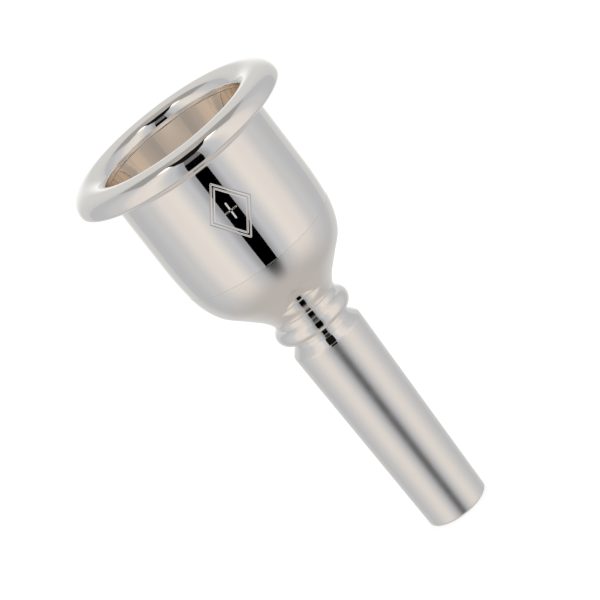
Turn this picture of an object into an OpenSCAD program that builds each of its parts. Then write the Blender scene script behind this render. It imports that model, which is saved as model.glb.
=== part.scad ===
// Tuba-size brass-instrument mouthpiece, built as a modular set of turned pieces:
// a screw-on rim, an upper cup, a lower cup with the throat, a bead collar and a tapered shank,
// with an O-ring in each screwed joint.
// The axis is Z. The origin is the centre of the shank's tip face, and the rim is at the top.

/* [Shank] */
// Outside diameter of the shank at its tip
tip_d = 13.4; // [13:0.1:13.8]
// Diameter gained per millimetre of shank length (1 in 20)
taper = 0.05; // [0.045:0.001:0.055]
// Height of the corner where the satin taper ends
shank_h = 45.2; // [42:0.05:45.5]
// Diameter of the small step on the shoulder cone above that corner
step_d = 12.8; // [12.6:0.1:13]
// Height of that step
step_z = 46.95; // [46.8:0.05:47.1]
// Edge round at the tip
tip_round = 0.45; // [0.2:0.05:0.6]
// Inside diameter of the backbore at the tip
backbore_d = 11.5; // [10.5:0.1:11.6]

/* [Throat] */
// Diameter of the throat
throat_d = 8.2; // [7.4:0.1:8.6]
// Radius of the shoulder between cup and throat
throat_shoulder_r = 2; // [1.8:0.1:2.2]

/* [Collar] */
// Height of the bottom of the groove under the bead
groove_z = 48.1; // [47.6:0.05:48.4]
// Diameter at the bottom of that groove
groove_d = 11.7; // [11.6:0.1:12.2]
// Outside diameter of the bead
bead_d = 16.8; // [16.4:0.1:17.2]
// Radius of the bead's section
bead_r = 2.05; // [2.0:0.05:2.2]
// Height of the line between bead and neck
neck_z = 52.2; // [52:0.1:52.6]
// Diameter of the neck
neck_d = 14.4; // [14:0.1:15]

/* [Bowl] */
// Slope of the bowl's lower flank, from the axis
flank_angle = 44; // [42:0.5:45]
// Radius of the long cove between neck and flank
neck_cove_r = 13; // [12:0.5:15]
// Half width of the ellipse that the bowl follows
bowl_a = 5.9; // [5.6:0.1:6.2]
// Half height of that ellipse
bowl_b = 12.4; // [12:0.1:12.8]
// Height of that ellipse's centre
bowl_top_z = 71.7; // [71.5:0.1:72.3]
// Height of the hairline between lower and upper cup
seam_z = 68.4; // [68:0.1:69]

/* [Barrel] */
// Outside diameter of the straight barrel
barrel_d = 34.1; // [33.6:0.1:34.4]
// Height where the barrel starts to draw in towards the hairline
draw_in_z = 76; // [75:0.1:78]
// Radius of that drawn-in stretch
draw_in_r = 68; // [60:1:90]
// Height of the face that the rim is screwed down onto
seat_z = 91.8; // [91.2:0.1:92]

/* [Rim] */
// Outside diameter of the rim
rim_d = 46.8; // [46:0.1:47.5]
// Height of the widest point of the rim
rim_wide_z = 93.9; // [93.8:0.1:94.2]
// Overall height, to the crest of the rim
crest_z = 97.5; // [97.2:0.1:97.8]
// Diameter of the crest
crest_d = 38.8; // [38.4:0.1:39.2]
// Width of the round from the crest into the cup
bite_w = 3.6; // [3.4:0.1:3.8]
// Height of that round
bite_h = 2.8; // [2.6:0.1:2.9]
// Depth of the cup below the bite, as the half height of its ellipse
cup_depth = 33; // [32:0.1:34]

/* [Joints] */
// Major diameter of the rim's thread
rim_thread_d = 35; // [34.8:0.1:35.2]
// Major diameter of the thread between the cups
cup_thread_d = 27; // [26:0.1:27.4]
// Major diameter of the shank's thread
shank_thread_d = 11; // [10.8:0.1:11.2]
// Radial clearance of a screwed joint
fit = 0.05; // [0.03:0.01:0.08]

/* [Hidden] */

brass_plated = [0.86, 0.85, 0.83];
brass_satin = [0.74, 0.73, 0.71];
seal_rubber = [0.08, 0.08, 0.09];

// Steps along a curved stretch of outline, and round the axis
arc_steps = 14;
round_fn = 96;

// Radii worked out from the diameters above
tip_r = tip_d / 2;
throat_r = throat_d / 2;
groove_r = groove_d / 2;
neck_r = neck_d / 2;
barrel_r = barrel_d / 2;
rim_r = rim_d / 2;
crest_r = crest_d / 2;
cup_r = crest_r - bite_w;
bite_z = crest_z - bite_h;

// The cup's inside follows an ellipse centred above the bite, down to this angle, then the throat shoulder
cup_lift = 14;
cup_end_angle = 73.15;
cup_b = cup_depth + cup_lift;
cup_a = cup_r / cos(asin(cup_lift / cup_b));
cup_c = bite_z + cup_lift;
cup_end_z = cup_c - cup_b * sin(cup_end_angle);
cup_end_slope = atan(tan(cup_end_angle) * cup_a / cup_b);
throat_top_z = cup_end_z - throat_shoulder_r * sin(cup_end_slope);

// How far the bowl's ellipse stays inside the barrel
bowl_inset = 0.17;

// Where the bowl's ellipse runs into its straight flank, and the flank into the cove and fillet above the neck
flank_start = atan(tan(flank_angle) * bowl_b / bowl_a);
bowl_c = barrel_r - bowl_a - bowl_inset;
flank_r = bowl_c + bowl_a * cos(flank_start);
flank_z = bowl_top_z - bowl_b * sin(flank_start);
cove_angle = 28.8;
fillet_r = 1.35;
fillet_w = fillet_r * (1 - cos(cove_angle));
cove_r = neck_r + fillet_w + neck_cove_r * (cos(cove_angle) - cos(flank_angle));
cove_z = flank_z - (flank_r - cove_r) / tan(flank_angle);
seam_start = asin((bowl_top_z - seam_z) / bowl_b);
seam_end = asin((draw_in_z - seam_z) / draw_in_r);

// Screwed joints: plain cylinders at the major diameter stand for the threads
rim_thread_top = 94.15;
face_gap = 0.05;
rim_thread_r = rim_thread_d / 2;
cup_thread_r = cup_thread_d / 2;
shank_thread_r = shank_thread_d / 2;
cup_socket_z = cup_end_z - 0.05;
cup_nose_h = 0.8;
cup_nose_r = cup_thread_r - 0.8;
shank_socket_z = 59;
shank_nose_h = 0.7;
shank_nose_r = shank_thread_r - 0.6;
thread_chamfer = 0.3;

// O-rings
seal_gap = 0.02;
rim_seal_r = 0.37;
rim_seal_ring_r = 16.65;
cup_seal_r = 0.38;
shank_seal_r = 0.34;
shank_seal_groove_r = shank_nose_r + 2 * shank_seal_r + 2 * seal_gap;

// Seat flange under the rim, and the underside of the rim
flange_out = 1.05;
underside_r = 20.2;
underside_z = 92.6;

// Collar and the taper's upper end
bead_c = bead_d / 2 - bead_r;
bead_z = 50.1;
bead_lift = 0.2;
step_h = 0.2;
backbore_start_z = 50;

function arc(cx, cz, rx, rz, from, to) =
    [for (i = [0 : arc_steps]) let (a = from + (to - from) * i / arc_steps) [cx + rx * cos(a), cz + rz * sin(a)]];

function shank_r(z) = tip_r + taper / 2 * z;

module turned(outline) {
    rotate_extrude($fn = round_fn) polygon(outline);
}

module o_ring(ring_r, section_r, z) {
    translate([0, 0, z]) rotate_extrude($fn = round_fn) translate([ring_r, 0]) circle(section_r, $fn = 32);
}

// Rim: bead, crest and bite, with the female thread inside its underside
module rim() {
    bore = rim_thread_r + fit;
    shoulder_z = rim_thread_top + face_gap;
    groove_half = rim_seal_r + seal_gap;
    groove_top = shoulder_z + 2 * rim_seal_r + seal_gap;
    color(brass_plated) turned(concat(
        [[bore, seat_z], [barrel_r + flange_out, seat_z]],
        arc(underside_r, rim_wide_z, rim_r - underside_r, rim_wide_z - underside_z, -90, 0),
        arc(crest_r, rim_wide_z, rim_r - crest_r, crest_z - rim_wide_z, 0, 90),
        arc(crest_r, bite_z, bite_w, bite_h, 90, 180),
        [[cup_a * cos(asin((cup_c - shoulder_z) / cup_b)), shoulder_z]],
        [[rim_seal_ring_r - groove_half, shoulder_z], [rim_seal_ring_r - groove_half, groove_top]],
        [[rim_seal_ring_r + groove_half, groove_top], [rim_seal_ring_r + groove_half, shoulder_z]],
        [[bore, shoulder_z]]
    ));
}

module rim_seal() {
    color(seal_rubber) o_ring(rim_seal_ring_r, rim_seal_r, rim_thread_top + face_gap + rim_seal_r);
}

// Upper cup: straight barrel outside, most of the cup inside, male threads at both ends
module upper_cup() {
    nose_top = cup_socket_z + cup_nose_h;
    color(brass_plated) turned(concat(
        [[cup_nose_r, cup_end_z], [cup_nose_r, nose_top], [cup_thread_r, nose_top]],
        [[cup_thread_r, seam_z]],
        arc(barrel_r - draw_in_r, draw_in_z, draw_in_r, draw_in_r, -seam_end, 0),
        arc(barrel_r + flange_out, seat_z - flange_out, flange_out, flange_out, 180, 90),
        [[rim_thread_r, seat_z], [rim_thread_r, rim_thread_top - thread_chamfer]],
        [[rim_thread_r - thread_chamfer, rim_thread_top]],
        arc(0, cup_c, cup_a, cup_b, -asin((cup_c - rim_thread_top) / cup_b), -cup_end_angle)
    ));
}

module cup_seal() {
    color(seal_rubber) o_ring(cup_nose_r + cup_seal_r + seal_gap, cup_seal_r, cup_socket_z + cup_seal_r + seal_gap);
}

// Lower cup: bowl outside, throat inside, a socket for each neighbour
module lower_cup() {
    cup_bore = cup_thread_r + fit;
    shank_bore = shank_thread_r + fit;
    seal_floor = shank_socket_z - 2 * (shank_seal_r + seal_gap);
    shoulder_c = throat_r + throat_shoulder_r;
    cove_c = neck_r + fillet_w + neck_cove_r * cos(cove_angle);
    cove_base = cove_z - neck_cove_r * sin(flank_angle);
    fillet_z = cove_base + (neck_cove_r - fillet_r) * sin(cove_angle);
    color(brass_plated) turned(concat(
        [[shank_bore, neck_z], [neck_r, neck_z]],
        arc(neck_r + fillet_r, fillet_z, -fillet_r, fillet_r, 0, cove_angle),
        arc(cove_c, cove_base, -neck_cove_r, neck_cove_r, cove_angle, flank_angle),
        arc(bowl_c, bowl_top_z, bowl_a, bowl_b, -flank_start, -seam_start),
        [[cup_bore, seam_z], [cup_bore, cup_socket_z]],
        arc(shoulder_c, throat_top_z, -throat_shoulder_r, throat_shoulder_r, cup_end_slope, 0),
        [[throat_r, shank_socket_z], [shank_seal_groove_r, shank_socket_z]],
        [[shank_seal_groove_r, seal_floor], [shank_bore, seal_floor]]
    ));
}

module shank_seal() {
    ring_r = shank_nose_r + shank_seal_r + seal_gap;
    color(seal_rubber) o_ring(ring_r, shank_seal_r, shank_socket_z - shank_seal_r - seal_gap);
}

// Collar: the bead that is pushed onto the shank's spigot
module collar() {
    low = asin((groove_z + bead_lift - bead_z) / bead_r);
    high = acos((neck_r - bead_c) / bead_r);
    color(brass_plated) turned(concat(
        [[shank_thread_r + seal_gap, groove_z], [groove_r, groove_z]],
        arc(bead_c, bead_z, bead_r, bead_r, low, high),
        [[neck_r, neck_z], [shank_thread_r + seal_gap, neck_z]]
    ));
}

// Shank: satin taper, shoulder cone, threaded spigot and backbore
module shank() {
    nose_base = shank_socket_z - shank_nose_h;
    nose_top = shank_socket_z - face_gap;
    corner_r = shank_r(shank_h);
    color(brass_satin) turned(concat(
        arc(tip_r - tip_round, tip_round, tip_round, tip_round, -90, 0),
        [[corner_r, shank_h], [step_d / 2, step_z], [step_d / 2, step_z + step_h]],
        [[groove_r, groove_z], [shank_thread_r, groove_z]],
        [[shank_thread_r, nose_base - thread_chamfer], [shank_thread_r - thread_chamfer, nose_base]],
        [[shank_nose_r, nose_base], [shank_nose_r, nose_top], [throat_r, nose_top]],
        [[throat_r, backbore_start_z], [backbore_d / 2, 0]]
    ));
}

rim();
rim_seal();
upper_cup();
cup_seal();
lower_cup();
shank_seal();
collar();
shank();
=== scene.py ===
"""Looks for a modular tuba mouthpiece: every turned piece is lathed again as a dense, smooth mesh round
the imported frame, with cut threads and an engraved ornament, and finished in polished or satin silver."""

import math

import bpy
import numpy as np
from mathutils import Matrix, Vector


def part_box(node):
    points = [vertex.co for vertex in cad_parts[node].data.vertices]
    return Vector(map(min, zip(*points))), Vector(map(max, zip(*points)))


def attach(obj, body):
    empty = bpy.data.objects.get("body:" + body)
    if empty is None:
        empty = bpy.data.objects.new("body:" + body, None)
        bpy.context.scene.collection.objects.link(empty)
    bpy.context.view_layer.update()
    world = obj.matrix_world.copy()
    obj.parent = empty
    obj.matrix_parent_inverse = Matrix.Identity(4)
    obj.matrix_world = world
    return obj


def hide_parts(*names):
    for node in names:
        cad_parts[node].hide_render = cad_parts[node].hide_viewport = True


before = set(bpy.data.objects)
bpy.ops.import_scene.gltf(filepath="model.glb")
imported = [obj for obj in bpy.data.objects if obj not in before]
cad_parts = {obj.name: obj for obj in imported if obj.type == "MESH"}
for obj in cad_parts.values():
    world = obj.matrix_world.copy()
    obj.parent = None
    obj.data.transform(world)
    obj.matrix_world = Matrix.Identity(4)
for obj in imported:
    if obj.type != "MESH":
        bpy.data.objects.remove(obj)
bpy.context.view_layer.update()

MM = 0.001


# ---------------------------------------------------------------- dimensions, all in millimetres


def low(node):
    """Lowest height of a CAD node."""
    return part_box(node)[0].z / MM


def high(node):
    """Highest height of a CAD node."""
    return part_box(node)[1].z / MM


def reach(node):
    """Largest radius of a CAD node."""
    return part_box(node)[1].x / MM


# Heights and radii that the frame gives
CREST_Z = high("rim")
RIM_R = reach("rim")
SEAT_Z = low("rim")
SEAM_Z = high("lower_cup")
THREAD_TOP_Z = high("upper_cup")
FLANGE_R = reach("upper_cup")
SPIGOT_Z = low("upper_cup")
NECK_Z = low("lower_cup")
GROOVE_Z = low("collar")
BEAD_R = reach("collar")
CORNER_R = reach("shank")
NOSE_Z = high("shank")

# Outside shape
TIP_R = 6.7
TIP_ROUND = 0.45
TAPER = 1 / 20
CORNER_Z = (CORNER_R - TIP_R) / (TAPER / 2)
CORNER_ROUND = 0.8
SATIN_TOP_Z = CORNER_Z - 0.28
GROOVE_R = 5.85
STEP_R = 6.4
STEP_Z = 46.95
STEP_H = 0.2
BEAD_SECTION_R = 2.05
BEAD_Z = 50.1
BEAD_LIFT = 0.2
NECK_R = 7.2
NECK_COVE_R = 13
COVE_ANGLE = math.radians(28.8)
FILLET_R = 1.35
FLANK_ANGLE = math.radians(44)
BOWL_A = 5.9
BOWL_B = 12.4
BOWL_TOP_Z = 71.7
BOWL_INSET = 0.17
BOWL_SATIN_R = 12.5
FLANGE_OUT = 1.05
BARREL_R = FLANGE_R - FLANGE_OUT
DRAW_IN_Z = 76
DRAW_IN_R = 68
RIM_WIDE_Z = 93.9
UNDERSIDE_R = 20.2
UNDERSIDE_Z = 92.6
CREST_R = 19.4
BITE_W = 3.6
BITE_H = 2.8

# Inside shape
CUP_R = CREST_R - BITE_W
BITE_Z = CREST_Z - BITE_H
CUP_LIFT = 14
CUP_C = BITE_Z + CUP_LIFT
CUP_B = 33 + CUP_LIFT
CUP_A = CUP_R / math.cos(math.asin(CUP_LIFT / CUP_B))
CUP_END = math.radians(73.15)
THROAT_R = 4.1
THROAT_SHOULDER_R = 2
BACKBORE_R = 5.75
BACKBORE_START_Z = 50

# Screwed joints
PITCH = 0.75
THREAD_DEPTH = 0.36
RIM_THREAD_R = 17.5
CUP_THREAD_R = 13.5
SHANK_THREAD_R = 5.5
FIT = 0.05
GAP = 0.02
CHAMFER = 0.3
CUP_NOSE_R = CUP_THREAD_R - 0.8
CUP_NOSE_H = 0.8
SHANK_NOSE_R = SHANK_THREAD_R - 0.6
SHANK_NOSE_H = 0.7
SHANK_SOCKET_Z = NOSE_Z + FIT
CUP_SOCKET_Z = SPIGOT_Z - FIT

# Engraved ornament: a double-lined lozenge with a small star inside
ORNAMENT_Z = 81.4
ORNAMENT_H = 6.4
ORNAMENT_W = 4.6
ORNAMENT_INSET = 0.62
ORNAMENT_STAR = 1.7
ORNAMENT_HUB = 0.35
CUT_W = 0.13
CUT_DEPTH = 0.07

# The hairline between the cups: a fine chamfer on each side
SEAM_CHAMFER = 0.1
DRAWN_IN = DRAW_IN_R * (1 - math.cos(math.asin((DRAW_IN_Z - SEAM_Z) / DRAW_IN_R)))

# Finish of the meshes
EDGE = 0.06
STEP = 0.03
COARSE_STEP = 1.2
FINE_STEP = 0.06
BEND = math.radians(2.5)
COLUMNS = 288
ON_WALL = 0.02


# ---------------------------------------------------------------- outlines


def arc(cr, cz, rr, rz, start, end, steps=72):
    """Points along an elliptical arc; angles in radians, 0 pointing outwards."""
    a = np.linspace(start, end, steps + 1)
    return list(zip(cr + rr * np.cos(a), cz + rz * np.sin(a)))


def deg(*angles):
    return [math.radians(a) for a in angles]


def cup_at(z):
    """Radius of the cup's inside at a height."""
    return CUP_A * math.sqrt(1 - ((CUP_C - z) / CUP_B) ** 2)


def cup_wall(top_z):
    """The cup's inside from top_z down to where the throat's shoulder takes over."""
    return arc(0, CUP_C, CUP_A, CUP_B, -math.asin((CUP_C - top_z) / CUP_B), -CUP_END)


def rim_outline():
    bore = RIM_THREAD_R + FIT
    face_z = THREAD_TOP_Z + FIT
    ring_r, ring_half = seal_place("rim_seal")
    groove_z = high("rim_seal") + GAP
    points = [(bore, SEAT_Z), (FLANGE_R, SEAT_Z)]
    points += arc(UNDERSIDE_R, RIM_WIDE_Z, RIM_R - UNDERSIDE_R, RIM_WIDE_Z - UNDERSIDE_Z, *deg(-90, 0))
    points += arc(CREST_R, RIM_WIDE_Z, RIM_R - CREST_R, CREST_Z - RIM_WIDE_Z, *deg(0, 90))
    points += arc(CREST_R, BITE_Z, BITE_W, BITE_H, *deg(90, 180))
    points += [(cup_at(face_z), face_z)]
    points += [(ring_r - ring_half, face_z), (ring_r - ring_half, groove_z)]
    points += [(ring_r + ring_half, groove_z), (ring_r + ring_half, face_z)]
    return points + [(bore, face_z)]


def upper_cup_outline():
    shoulder_z = CUP_SOCKET_Z + CUP_NOSE_H
    draw_in = math.asin((DRAW_IN_Z - SEAM_Z - SEAM_CHAMFER) / DRAW_IN_R)
    points = [(CUP_NOSE_R, SPIGOT_Z), (CUP_NOSE_R, shoulder_z)]
    points += [(CUP_THREAD_R - CHAMFER, shoulder_z), (CUP_THREAD_R, shoulder_z + CHAMFER)]
    points += [(CUP_THREAD_R, SEAM_Z), (BARREL_R - SEAM_CHAMFER - DRAWN_IN, SEAM_Z)]
    points += arc(BARREL_R - DRAW_IN_R, DRAW_IN_Z, DRAW_IN_R, DRAW_IN_R, -draw_in, 0)
    points += arc(FLANGE_R, SEAT_Z - FLANGE_OUT, FLANGE_OUT, FLANGE_OUT, *deg(180, 90))
    points += [(RIM_THREAD_R, SEAT_Z), (RIM_THREAD_R, THREAD_TOP_Z - CHAMFER)]
    points += [(RIM_THREAD_R - CHAMFER, THREAD_TOP_Z)]
    return points + cup_wall(THREAD_TOP_Z)


def lower_cup_outline():
    cup_bore = CUP_THREAD_R + FIT
    shank_bore = SHANK_THREAD_R + FIT
    seal_floor = low("shank_seal") - GAP
    seal_r = reach("shank_seal") + GAP
    flank_start = math.atan(math.tan(FLANK_ANGLE) * BOWL_B / BOWL_A)
    seam_start = math.asin((BOWL_TOP_Z - SEAM_Z + SEAM_CHAMFER) / BOWL_B)
    bowl_c = BARREL_R - BOWL_A - BOWL_INSET
    flank_r = bowl_c + BOWL_A * math.cos(flank_start)
    flank_z = BOWL_TOP_Z - BOWL_B * math.sin(flank_start)
    cove_mid = NECK_R + FILLET_R * (1 - math.cos(COVE_ANGLE)) + NECK_COVE_R * math.cos(COVE_ANGLE)
    cove_r = cove_mid - NECK_COVE_R * math.cos(FLANK_ANGLE)
    cove_z = flank_z - (flank_r - cove_r) / math.tan(FLANK_ANGLE)
    cove_c = cove_z - NECK_COVE_R * math.sin(FLANK_ANGLE)
    slope = math.atan(math.tan(CUP_END) * CUP_A / CUP_B)
    funnel_z = CUP_C - CUP_B * math.sin(CUP_END)
    throat_z = funnel_z - THROAT_SHOULDER_R * math.sin(slope)
    points = [(shank_bore, NECK_Z), (NECK_R, NECK_Z)]
    fillet_c = cove_c + (NECK_COVE_R - FILLET_R) * math.sin(COVE_ANGLE)
    points += arc(NECK_R + FILLET_R, fillet_c, -FILLET_R, FILLET_R, 0, COVE_ANGLE)
    points += arc(cove_mid, cove_c, -NECK_COVE_R, NECK_COVE_R, COVE_ANGLE, FLANK_ANGLE)
    points += arc(bowl_c, BOWL_TOP_Z, BOWL_A, BOWL_B, -flank_start, -seam_start)
    points += [(BARREL_R - DRAWN_IN - SEAM_CHAMFER, SEAM_Z), (cup_bore, SEAM_Z), (cup_bore, CUP_SOCKET_Z)]
    points += arc(THROAT_R + THROAT_SHOULDER_R, throat_z, -THROAT_SHOULDER_R, THROAT_SHOULDER_R, slope, 0)
    points += [(THROAT_R, SHANK_SOCKET_Z), (seal_r, SHANK_SOCKET_Z)]
    return points + [(seal_r, seal_floor), (shank_bore, seal_floor)]


def collar_outline():
    bead_c = BEAD_R - BEAD_SECTION_R
    start = math.asin((GROOVE_Z + BEAD_LIFT - BEAD_Z) / BEAD_SECTION_R)
    end = math.acos((NECK_R - bead_c) / BEAD_SECTION_R)
    points = [(SHANK_THREAD_R + GAP, GROOVE_Z), (GROOVE_R, GROOVE_Z)]
    points += arc(bead_c, BEAD_Z, BEAD_SECTION_R, BEAD_SECTION_R, start, end)
    return points + [(NECK_R, NECK_Z), (SHANK_THREAD_R + GAP, NECK_Z)]


def shank_outline():
    nose_base = SHANK_SOCKET_Z - SHANK_NOSE_H
    points = arc(TIP_R - TIP_ROUND, TIP_ROUND, TIP_ROUND, TIP_ROUND, *deg(-90, 0))
    lean = math.atan(TAPER / 2)
    cone = math.atan((CORNER_R - STEP_R) / (STEP_Z - CORNER_Z))
    back = CORNER_ROUND / math.cos((cone + lean) / 2)
    bisector = (cone - lean) / 2
    points += arc(
        CORNER_R - back * math.cos(bisector), CORNER_Z - back * math.sin(bisector),
        CORNER_ROUND, CORNER_ROUND, -lean, cone,
    )
    points += [(STEP_R, STEP_Z), (STEP_R, STEP_Z + STEP_H)]
    points += [(GROOVE_R, GROOVE_Z), (SHANK_THREAD_R, GROOVE_Z)]
    points += [(SHANK_THREAD_R, nose_base - CHAMFER), (SHANK_THREAD_R - CHAMFER, nose_base)]
    points += [(SHANK_NOSE_R, nose_base), (SHANK_NOSE_R, NOSE_Z), (THROAT_R, NOSE_Z)]
    return points + [(THROAT_R, BACKBORE_START_Z), (BACKBORE_R, 0)]


def seal_place(node):
    """(radius of an O-ring's circle, half width of its groove)."""
    section = (high(node) - low(node)) / 2
    return reach(node) - section, section + GAP


def seal_outline(node):
    section = (high(node) - low(node)) / 2
    middle = (high(node) + low(node)) / 2
    return arc(reach(node) - section, middle, section, section, *deg(0, 360))[:-1]


# ---------------------------------------------------------------- lathe


def turned_path(outline, dense=()):
    """Resamples a closed outline, breaks its edges by EDGE, and thins it where it runs straight.
    dense lists (low z, high z, step) bands that keep closely spaced rings.
    Returns radius, height and the outward normal of each ring."""
    p = np.array(outline)
    p = np.vstack([p, p[:1]])
    run = np.concatenate([[0], np.cumsum(np.hypot(*np.diff(p, axis=0).T))])
    count = int(run[-1] / STEP)
    s = np.arange(count) * run[-1] / count
    q = np.column_stack([np.interp(s, run, p[:, k]) for k in (0, 1)])
    half = int(EDGE / STEP)
    kernel = np.hanning(2 * half + 3)[1:-1]
    kernel /= kernel.sum()
    wrapped = np.vstack([q[-half:], q, q[:half]])
    q = np.column_stack([np.convolve(wrapped[:, k], kernel, "valid") for k in (0, 1)])
    tangent = np.roll(q, -1, 0) - np.roll(q, 1, 0)
    tangent /= np.hypot(*tangent.T)[:, None]
    normal = np.column_stack([tangent[:, 1], -tangent[:, 0]])
    heading = np.unwrap(np.arctan2(tangent[:, 1], tangent[:, 0]))
    keep, last = [0], 0
    for i in range(1, count):
        spacing = (i - last) * STEP
        limit = COARSE_STEP
        for z0, z1, step in dense:
            if z0 <= q[i, 1] <= z1:
                limit = step
        bent = abs(heading[i] - heading[last]) > BEND
        if bent and i - last > 1:
            keep.append(i - 1)
        if bent or spacing >= limit:
            keep.append(i)
            last = i
    return q[keep], normal[keep]


def lathe(name, outline, body, node, materials, dense=(), relief=None, columns=None, zone=None):
    """Turns an outline into a ring-shaped mesh. relief(angle, r, z) gives a radial change in millimetres,
    which the normals follow; zone(r, z) picks the material of each ring of faces."""
    path, normal = turned_path(outline, dense)
    angle = np.linspace(0, 2 * math.pi, COLUMNS, endpoint=False) if columns is None else columns
    rings, turns = len(path), len(angle)
    a, r = np.meshgrid(angle, path[:, 0])
    z = np.repeat(path[:, 1:], turns, 1)
    nr = np.repeat(normal[:, :1], turns, 1)
    nz = np.repeat(normal[:, 1:], turns, 1)
    na = np.zeros_like(nr)
    if relief is not None:
        eps = 0.01
        h = relief(a, r, z)
        slope_z = (relief(a, r, z + eps) - relief(a, r, z - eps)) / (2 * eps)
        slope_a = (relief(a + eps / r, r, z) - relief(a - eps / r, r, z)) / (2 * eps)
        nz = nz - nr * slope_z
        na = -nr * slope_a
        r = r + h
    size = np.sqrt(nr**2 + nz**2 + na**2)
    nx = (nr * np.cos(a) - na * np.sin(a)) / size
    ny = (nr * np.sin(a) + na * np.cos(a)) / size
    verts = np.column_stack([(r * np.cos(a)).ravel(), (r * np.sin(a)).ravel(), z.ravel()]) * MM
    normals = np.column_stack([nx.ravel(), ny.ravel(), (nz / size).ravel()])
    i, j = np.meshgrid(np.arange(rings), np.arange(turns), indexing="ij")
    i2, j2 = (i + 1) % rings, (j + 1) % turns
    quads = np.stack([i * turns + j, i * turns + j2, i2 * turns + j2, i2 * turns + j], -1).reshape(-1, 4)
    mesh = bpy.data.meshes.new(name)
    mesh.from_pydata(verts.tolist(), [], quads.tolist())
    for m in materials:
        mesh.materials.append(m)
    if zone is not None:
        index = [zone(r0, z0) for r0, z0 in path]
        mesh.polygons.foreach_set("material_index", np.repeat(index, turns).astype(np.int32))
    mesh.polygons.foreach_set("use_smooth", np.ones(len(quads), bool))
    mesh.normals_split_custom_set_from_vertices(normals.tolist())
    mesh.update()
    piece = bpy.data.objects.new(name, mesh)
    bpy.context.scene.collection.objects.link(piece)
    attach(piece, body)
    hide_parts(node)
    return piece


# ---------------------------------------------------------------- threads and ornament


def smooth(x, a, b):
    """0 below a, 1 above b, smooth between."""
    t = np.clip((x - a) / (b - a), 0, 1)
    return t * t * (3 - 2 * t)


def groove_share(angle, z):
    """0 on a right-hand thread's crest, 1 in its root."""
    phase = z / PITCH - angle / (2 * math.pi)
    wave = np.abs(2 * (phase % 1) - 1)
    return smooth(wave, 0.12, 0.88)


def male_thread(wall_r, z0, z1):
    def relief(angle, r, z):
        there = smooth(z, z0, z0 + PITCH / 2) * (1 - smooth(z, z1 - PITCH / 2, z1))
        on_wall = (np.abs(r - wall_r) < ON_WALL) & (z > z0 - 0.2) & (z < z1 + 0.2)
        return -THREAD_DEPTH * on_wall * (1 - there * (1 - groove_share(angle, z)))

    return relief


def female_thread(wall_r, z0, z1, inwards=THREAD_DEPTH):
    """inwards: how far the crests stand in from the wall; the rest of the depth is cut outwards."""

    def relief(angle, r, z):
        there = smooth(z, z0, z0 + PITCH / 2) * (1 - smooth(z, z1 - PITCH / 2, z1))
        wave = THREAD_DEPTH * (1 - groove_share(angle, z)) - inwards
        return (np.abs(r - wall_r) < ON_WALL) * there * wave

    return relief


def reliefs(*parts):
    return lambda angle, r, z: sum(p(angle, r, z) for p in parts)


def stroke(x, y, x0, y0, x1, y1):
    """Distance from each point to the segment from (x0, y0) to (x1, y1)."""
    dx, dy = x1 - x0, y1 - y0
    t = np.clip(((x - x0) * dx + (y - y0) * dy) / (dx * dx + dy * dy), 0, 1)
    return np.hypot(x - x0 - t * dx, y - y0 - t * dy)


def ornament_strokes():
    lines = []
    for inset in (0, ORNAMENT_INSET):
        w = ORNAMENT_W - inset * 1.2
        h = ORNAMENT_H - inset * 1.2 * ORNAMENT_H / ORNAMENT_W
        corners = [(0, h), (w, 0), (0, -h), (-w, 0)]
        lines += [(*corners[k], *corners[k - 1]) for k in range(4)]
    for side in (-1, 1):
        lines.append((0, side * ORNAMENT_HUB, 0, side * ORNAMENT_STAR))
        lines.append((side * ORNAMENT_HUB, 0, side * ORNAMENT_STAR * ORNAMENT_W / ORNAMENT_H, 0))
    return lines


def ornament(angle, r, z):
    """Cuts the ornament into the front of the barrel."""
    turn = (angle + math.pi / 2 + math.pi) % (2 * math.pi) - math.pi
    x, y = turn * BARREL_R, z - ORNAMENT_Z
    near = (np.abs(x) < ORNAMENT_W + 1) & (np.abs(y) < ORNAMENT_H + 1)
    near &= np.abs(r - BARREL_R) < ON_WALL
    d = np.full_like(x, 9.0)
    for line in ornament_strokes():
        d = np.minimum(d, stroke(x, y, *line))
    return -CUT_DEPTH * near * (1 - smooth(d, 0.3 * CUT_W, 1.35 * CUT_W))


def ornament_columns():
    """Angles round the barrel, packed closely across the ornament."""
    half = (ORNAMENT_W + 0.5) / BARREL_R
    fine = np.arange(-half, half, FINE_STEP / BARREL_R) - math.pi / 2
    coarse = np.linspace(fine[-1], fine[0] + 2 * math.pi, COLUMNS + 1)[1:-1]
    return np.concatenate([fine, coarse])


# ---------------------------------------------------------------- materials


def new_material(name, colour, roughness, metallic):
    m = bpy.data.materials.new(name)
    m.use_nodes = True
    bsdf = m.node_tree.nodes["Principled BSDF"]
    bsdf.inputs["Base Color"].default_value = (*colour, 1)
    bsdf.inputs["Roughness"].default_value = roughness
    bsdf.inputs["Metallic"].default_value = metallic
    return m, m.node_tree, bsdf


def grain(tree, scale, detail, stretch=(1, 1, 1)):
    """Noise in the piece's own coordinates."""
    coord = tree.nodes.new("ShaderNodeTexCoord")
    mapping = tree.nodes.new("ShaderNodeMapping")
    mapping.inputs["Scale"].default_value = stretch
    noise = tree.nodes.new("ShaderNodeTexNoise")
    noise.inputs["Scale"].default_value = scale
    noise.inputs["Detail"].default_value = detail
    tree.links.new(coord.outputs["Object"], mapping.inputs[0])
    tree.links.new(mapping.outputs[0], noise.inputs["Vector"])
    return noise.outputs[0]


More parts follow.
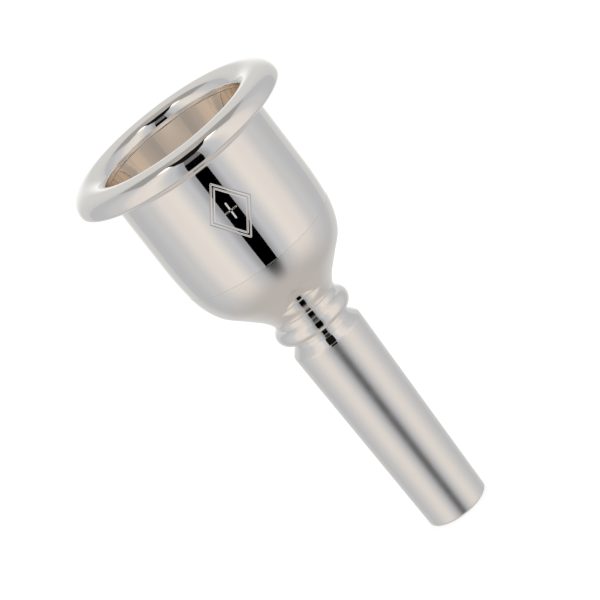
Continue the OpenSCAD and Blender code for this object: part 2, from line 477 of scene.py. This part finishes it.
def spread(tree, value, low, high, into):
    """Feeds a noise value into a socket, as a range from low to high."""
    n = tree.nodes.new("ShaderNodeMapRange")
    n.inputs["From Min"].default_value = 0.3
    n.inputs["From Max"].default_value = 0.7
    n.inputs["To Min"].default_value = low
    n.inputs["To Max"].default_value = high
    tree.links.new(value, n.inputs[0])
    tree.links.new(n.outputs[0], into)


def roughen(tree, bsdf, value, height):
    """Bumps the surface by a noise value, height metres high."""
    n = tree.nodes.new("ShaderNodeBump")
    n.inputs["Strength"].default_value = 1
    n.inputs["Distance"].default_value = height
    tree.links.new(value, n.inputs["Height"])
    tree.links.new(n.outputs[0], bsdf.inputs["Normal"])


SILVER = (0.965, 0.945, 0.915)
WARM_SILVER = (0.83, 0.755, 0.68)


def polished_silver():
    m, tree, bsdf = new_material("polished_silver", SILVER, 0.03, 1)
    spread(tree, grain(tree, 90, 3), 0.02, 0.055, bsdf.inputs["Roughness"])
    return m


def satin_silver(name, low, high):
    m, tree, bsdf = new_material(name, SILVER, low, 1)
    spread(tree, grain(tree, 160, 3, (1, 1, 2.5)), low, high, bsdf.inputs["Roughness"])
    roughen(tree, bsdf, grain(tree, 5200, 2, (1, 1, 2)), 0.0000004)
    return m


def cup_silver():
    m, tree, bsdf = new_material("cup_silver", WARM_SILVER, 0.02, 1)
    spread(tree, grain(tree, 160, 4, (1, 1, 6)), 0.012, 0.03, bsdf.inputs["Roughness"])
    roughen(tree, bsdf, grain(tree, 120, 2, (0.2, 0.2, 8)), 0.0000004)
    return m


def seal_rubber():
    m, tree, bsdf = new_material("seal_rubber", (0.018, 0.018, 0.02), 0.5, 0)
    spread(tree, grain(tree, 1500, 3), 0.42, 0.62, bsdf.inputs["Roughness"])
    roughen(tree, bsdf, grain(tree, 2600, 3), 0.00001)
    return m


# ---------------------------------------------------------------- pieces


def inside_zone(outside):
    """Material index 2 on the cup and air way, outside(r, z) elsewhere."""

    def zone(r, z):
        in_cup = SPIGOT_Z - 0.1 < z < BITE_Z and r < cup_at(z) + 0.03
        in_throat = z < SPIGOT_Z + 0.1 and r < SHANK_THREAD_R - 0.2 and z < SHANK_SOCKET_Z + 1
        funnel = SHANK_SOCKET_Z - 0.1 < z < SPIGOT_Z + 0.2 and r < CUP_NOSE_R / 2
        return 2 if in_cup or in_throat or funnel else outside(r, z)

    return zone


def make_pieces():
    silver = polished_silver()
    satin = satin_silver("satin_silver", 0.29, 0.32)
    bowl_satin = satin_silver("bowl_satin_silver", 0.19, 0.22)
    cup = cup_silver()
    rubber = seal_rubber()
    lathe(
        "rim_ring", rim_outline(), "rim", "rim", [silver],
        dense=[(SEAT_Z, THREAD_TOP_Z, FINE_STEP)],
        relief=female_thread(RIM_THREAD_R + FIT, SEAT_Z, THREAD_TOP_Z),
    )
    lathe(
        "upper_cup_body", upper_cup_outline(), "upper_cup", "upper_cup",
        [silver, satin, cup],
        dense=[
            (SEAT_Z, THREAD_TOP_Z, FINE_STEP),
            (CUP_SOCKET_Z, SEAM_Z, FINE_STEP),
            (ORNAMENT_Z - ORNAMENT_H - 0.5, ORNAMENT_Z + ORNAMENT_H + 0.5, FINE_STEP),
        ],
        relief=reliefs(
            male_thread(RIM_THREAD_R, SEAT_Z, THREAD_TOP_Z),
            male_thread(CUP_THREAD_R, CUP_SOCKET_Z + CUP_NOSE_H, SEAM_Z),
            ornament,
        ),
        columns=ornament_columns(),
        zone=inside_zone(lambda r, z: 0),
    )
    lathe(
        "lower_cup_body", lower_cup_outline(), "lower_cup", "lower_cup",
        [silver, bowl_satin, cup],
        dense=[(CUP_SOCKET_Z, SEAM_Z, FINE_STEP), (NECK_Z, SHANK_SOCKET_Z, FINE_STEP)],
        relief=reliefs(
            female_thread(CUP_THREAD_R + FIT, CUP_SOCKET_Z + CUP_NOSE_H, SEAM_Z, FIT),
            female_thread(SHANK_THREAD_R + FIT, NECK_Z, low("shank_seal")),
        ),
        zone=inside_zone(lambda r, z: 1 if r > BOWL_SATIN_R and z < SEAM_Z - SEAM_CHAMFER else 0),
    )
    lathe("bead_collar", collar_outline(), "shank", "collar", [silver])
    lathe(
        "shank_body", shank_outline(), "shank", "shank", [silver, satin, cup],
        dense=[(NECK_Z, NOSE_Z, FINE_STEP)],
        relief=male_thread(SHANK_THREAD_R, NECK_Z, NOSE_Z - SHANK_NOSE_H),
        zone=inside_zone(lambda r, z: 1 if z < SATIN_TOP_Z and r > TIP_R - 0.2 else 0),
    )
    for node in ("rim_seal", "cup_seal", "shank_seal"):
        lathe(node + "_ring", seal_outline(node), node, node, [rubber])


# ---------------------------------------------------------------- stage, light and camera


def make_floor():
    bpy.ops.mesh.primitive_plane_add(size=8, location=(0, 0, -0.0002))
    floor = bpy.context.object
    floor.name = "floor"
    m, tree, bsdf = new_material("floor_paper", (0.3, 0.3, 0.3), 0.9, 0)
    bsdf.inputs["Specular IOR Level"].default_value = 0
    bsdf.inputs["Emission Color"].default_value = (1, 1, 1, 1)
    bsdf.inputs["Emission Strength"].default_value = 0.75
    floor.data.materials.append(m)
    floor.visible_glossy = False


def make_world():
    world = bpy.data.worlds.new("studio")
    bpy.context.scene.world = world
    world.use_nodes = True
    tree = world.node_tree
    tree.nodes.clear()
    link = tree.links.new

    def maths(op, a, b=None, c=None):
        n = tree.nodes.new("ShaderNodeMath")
        n.operation = op
        for k, v in enumerate((a, b, c)):
            if v is None:
                continue
            if isinstance(v, (int, float)):
                n.inputs[k].default_value = v
            else:
                link(v, n.inputs[k])
        return n.outputs[0]

    def ramp(value, stops):
        n = tree.nodes.new("ShaderNodeValToRGB")
        n.color_ramp.interpolation = "EASE"
        e = n.color_ramp.elements
        while len(e) < len(stops):
            e.new(0.5)
        for k, (pos, colour) in enumerate(stops):
            e[k].position = pos
            e[k].color = (*colour, 1)
        link(value, n.inputs[0])
        return n.outputs[0]

    def mix(factor, a, b):
        n = tree.nodes.new("ShaderNodeMix")
        n.data_type = "RGBA"
        link(factor, n.inputs[0])
        for v, socket in ((a, n.inputs[6]), (b, n.inputs[7])):
            if isinstance(v, tuple):
                socket.default_value = (*v, 1)
            else:
                link(v, socket)
        return n.outputs[2]

    def between(v, a, b):
        return maths("MULTIPLY", maths("GREATER_THAN", v, a), maths("LESS_THAN", v, b))

    def fade(v, a, b):
        n = tree.nodes.new("ShaderNodeMapRange")
        n.interpolation_type = "SMOOTHSTEP"
        n.inputs["From Min"].default_value = a
        n.inputs["From Max"].default_value = b
        link(v, n.inputs[0])
        return n.outputs[0]

    coord = tree.nodes.new("ShaderNodeTexCoord")
    split = tree.nodes.new("ShaderNodeSeparateXYZ")
    link(coord.outputs["Generated"], split.inputs[0])
    x, y, z = split.outputs
    back = maths("MULTIPLY", y, -1)
    side = maths("MULTIPLY", maths("ARCTAN2", maths("ABSOLUTE", x), back), 180 / math.pi)
    turn = maths("MULTIPLY", maths("ARCTAN2", x, back), 180 / math.pi)
    rise = maths("MULTIPLY", maths("ARCSINE", z), 180 / math.pi)
    # Two light curtains hang on the left and right, brighter where the lamps shine through
    room = ramp(maths("DIVIDE", side, 180), [
        (0.06, (0.34, 0.35, 0.37)),
        (0.13, (0.55, 0.56, 0.59)),
        (0.26, (0.79, 0.745, 0.70)),
        (0.36, (0.76, 0.715, 0.68)),
        (0.50, (0.58, 0.58, 0.59)),
        (0.66, (0.50, 0.51, 0.53)),
        (0.74, (0.50, 0.51, 0.54)),
    ])
    # Behind their far edges is the open back of the room
    behind = fade(side, 131, 137)
    rear = ramp(maths("DIVIDE", side, 180), [(0.74, (0.60, 0.60, 0.60)), (0.90, (0.655, 0.65, 0.64))])
    horizon = maths("MULTIPLY", fade(maths("ABSOLUTE", maths("ADD", rise, 5)), 26, 6), fade(side, 150, 176))
    rear = mix(horizon, rear, (0.98, 0.98, 0.98))
    room = mix(behind, room, rear)
    # Floor below, and a greyer panel in the ceiling above
    room = mix(fade(rise, -28, -62), room, (0.50, 0.47, 0.455))
    height = maths("MAXIMUM", z, 0.2)
    over_x = maths("DIVIDE", maths("ABSOLUTE", x), height)
    over_y = maths("DIVIDE", y, height)
    panel = maths("MULTIPLY", fade(over_x, 0.75, 0.6), fade(over_y, -0.22, -0.05))
    panel = maths("MULTIPLY", panel, fade(maths("MULTIPLY_ADD", over_x, -0.35, over_y), 0.42, 0.28))
    ceiling = ramp(over_x, [(0.05, (0.43, 0.40, 0.385)), (0.35, (0.345, 0.335, 0.325))])
    room = mix(maths("MULTIPLY", panel, fade(rise, 40, 45)), room, ceiling)
    # Lamps beside the gap between the curtains
    lamp_height = fade(maths("ABSOLUTE", maths("SUBTRACT", rise, 71.5)), 4.5, 2.5)
    lamp_width = fade(maths("ABSOLUTE", maths("SUBTRACT", side, 61)), 17, 11)
    room = mix(maths("MULTIPLY", lamp_height, lamp_width), room, (1.5, 1.47, 1.42))
    # The gap itself: dark at eye height, a grey neck above, then open to the dark overhead
    offset = maths("ABSOLUTE", maths("SUBTRACT", turn, 1))
    gap = maths("MULTIPLY", maths("LESS_THAN", offset, 10), maths("LESS_THAN", rise, 50))
    gap = maths("MULTIPLY", gap, fade(rise, -62, -30))
    room = mix(gap, room, (0.0, 0.0, 0.0))
    neck = maths("MULTIPLY", maths("LESS_THAN", offset, 10.2), between(rise, 26, 50))
    room = mix(maths("MULTIPLY", neck, fade(rise, 22, 31)), room, (0.165, 0.165, 0.165))
    flare = maths("MINIMUM", maths("ADD", maths("SUBTRACT", z, 0.78), 0.105), 0.215)
    wide = maths("SUBTRACT", flare, maths("ABSOLUTE", x))
    open_top = maths("MULTIPLY", maths("GREATER_THAN", wide, 0), fade(rise, 48, 52))
    open_top = maths("MULTIPLY", open_top, fade(rise, 79.5, 77))
    open_top = maths("MULTIPLY", open_top, maths("GREATER_THAN", back, 0))
    room = mix(open_top, room, (0.007, 0.006, 0.005))
    seen = tree.nodes.new("ShaderNodeBackground")
    link(room, seen.inputs[0])
    plain = tree.nodes.new("ShaderNodeBackground")
    plain.inputs[0].default_value = (1, 1, 1, 1)
    plain.inputs[1].default_value = 1.08
    path = tree.nodes.new("ShaderNodeLightPath")
    choose = tree.nodes.new("ShaderNodeMixShader")
    link(path.outputs["Is Glossy Ray"], choose.inputs[0])
    link(plain.outputs[0], choose.inputs[1])
    link(seen.outputs[0], choose.inputs[2])
    out = tree.nodes.new("ShaderNodeOutputWorld")
    link(choose.outputs[0], out.inputs[0])


def make_camera():
    """Looks down at the part from the front, with the picture turned so that the part leans to the left."""
    tilt = math.radians(17.5)
    distance = 0.5643
    drop = 0.00266
    lens_share = 2900 / 600
    aim = Vector((0, 0, 0.0512))
    toward = Vector((0, -math.cos(tilt), math.sin(tilt)))
    down_axis = Vector((0, -math.sin(tilt), -math.cos(tilt)))
    across = Vector((1, 0, 0))
    slant = math.radians(52.3)
    right = down_axis * math.cos(slant) + across * math.sin(slant)
    up = across * math.cos(slant) - down_axis * math.sin(slant)
    data = bpy.data.cameras.new("camera")
    data.sensor_width = 36
    data.lens = 36 * lens_share
    data.clip_start = 0.01
    data.clip_end = 50
    camera = bpy.data.objects.new("camera", data)
    bpy.context.scene.collection.objects.link(camera)
    place = aim - down_axis * drop + toward * distance
    camera.matrix_world = Matrix((
        (right.x, up.x, toward.x, place.x),
        (right.y, up.y, toward.y, place.y),
        (right.z, up.z, toward.z, place.z),
        (0, 0, 0, 1),
    ))
    bpy.context.scene.camera = camera


make_camera()
make_world()
make_floor()
make_pieces()
bpy.context.scene.view_settings.view_transform = "Standard"
bpy.context.scene.cycles.max_bounces = 24
bpy.context.scene.cycles.glossy_bounces = 24
bpy.context.scene.cycles.use_denoising = True
